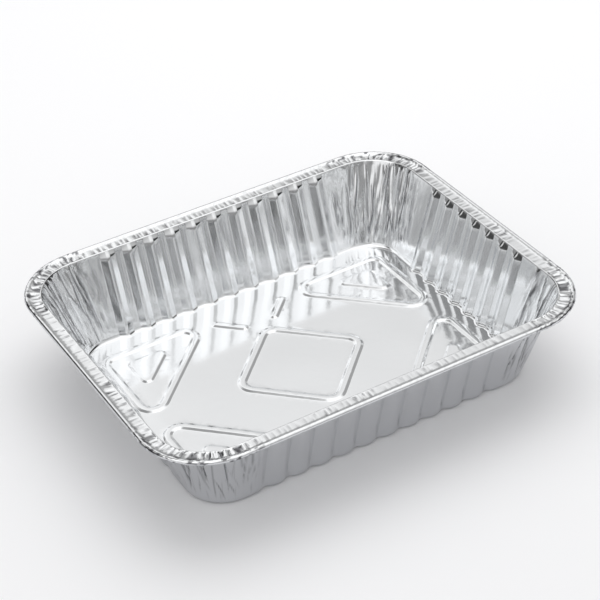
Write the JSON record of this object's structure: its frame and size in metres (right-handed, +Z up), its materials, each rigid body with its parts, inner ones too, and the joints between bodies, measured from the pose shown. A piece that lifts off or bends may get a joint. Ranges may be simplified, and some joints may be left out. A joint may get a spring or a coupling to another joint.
{
  "type": "aluminium foil tray",
  "caption": "Rectangular aluminium foil tray with sloping ribbed walls, gathered round corners, a flat flange with a rolled edge and a ridged flat base.",
  "frame": {"origin": "middle of the underside of the base, on the table", "axes": "+Z up out of the mouth, +X along the long side, +Y across"},
  "size_m": [0.324, 0.2634, 0.0649],
  "materials": {
    "aluminium_foil": "bright rolled foil, satin where it is drawn over the press"
  },
  "bodies": {
    "root": {"foil_tray": "aluminium_foil"}
  },
  "joints": []
}
